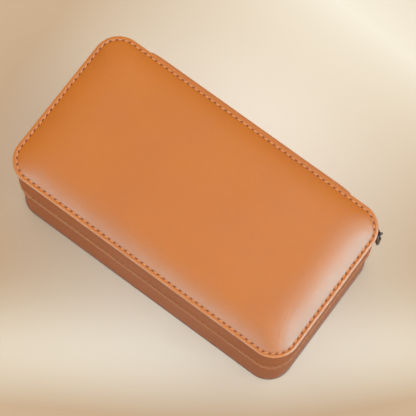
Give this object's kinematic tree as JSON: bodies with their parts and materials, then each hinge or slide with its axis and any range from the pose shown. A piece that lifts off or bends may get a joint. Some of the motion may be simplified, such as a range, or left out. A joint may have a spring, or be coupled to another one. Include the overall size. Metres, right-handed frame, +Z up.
{
  "type": "watch travel case",
  "caption": "Rounded rectangular zipped leather travel case with a padded lid, a spine hinge, divided compartments and watch pillows.",
  "frame": {"origin": "centre of the case's bottom face, on the surface that it stands on", "axes": "+X along the length, to the closed zip's slider; +Y across, to the hinge spine at the back; +Z up"},
  "size_m": [0.2002, 0.1114, 0.086],
  "materials": {
    "tan_leather": "smooth, fine grain, satin sheen",
    "wall_leather": "smooth, fine grain, satin sheen",
    "suede": "short soft nap",
    "greyboard": "solid pressed board, raw",
    "foam": "open cell foam",
    "thread": "waxed twisted thread",
    "zip_tape": "woven tape",
    "zip_metal": "dark gunmetal plating"
  },
  "bodies": {
    "base": {"bottom_panel": "wall_leather", "base_board": "greyboard", "base_leather": "wall_leather", "base_edge_stitching": "thread", "base_lining": "suede", "floor_pad": "suede", "divider_left": "suede", "divider_right": "suede", "pillow_cover_left": "suede", "pillow_cover_middle": "suede", "pillow_cover_right": "suede", "pillow_core_left": "foam", "pillow_core_middle": "foam", "pillow_core_right": "foam", "lower_tape": "zip_tape", "lower_teeth": "zip_metal", "lower_end_stops": "zip_metal", "hinge_spine": "tan_leather"},
    "lid": {"lid_board": "greyboard", "lid_leather": "wall_leather", "top_foam": "foam", "top_leather": "tan_leather", "top_stitching": "thread", "lid_edge_stitching": "thread", "lid_lining": "suede", "lid_pad": "suede", "upper_tape": "zip_tape", "upper_teeth": "zip_metal", "upper_end_stops": "zip_metal"},
    "slider": {"slider_body": "zip_metal", "slider_bridge": "zip_metal"},
    "puller": {"zip_puller": "zip_metal"}
  },
  "joints": [
    {"name": "lid_hinge", "type": "hinge", "parent": "base", "child": "lid", "pos_m": [0, 0.0551, 0.044], "axis": [-1, 0, 0], "range_deg": [0, 180], "deforming": ["hinge_spine"]},
    {"name": "slider_run", "type": "hinge", "parent": "base", "child": "slider", "pos_m": [0.084, 0.0375, 0.044], "axis": [0, 0, -1], "range_deg": [0, 37]},
    {"name": "puller_swing", "type": "hinge", "parent": "slider", "child": "puller", "pos_m": [0.09756, 0.05353, 0.044], "axis": [0.7635, -0.6458, 0], "range_deg": [-14, 194]}
  ]
}
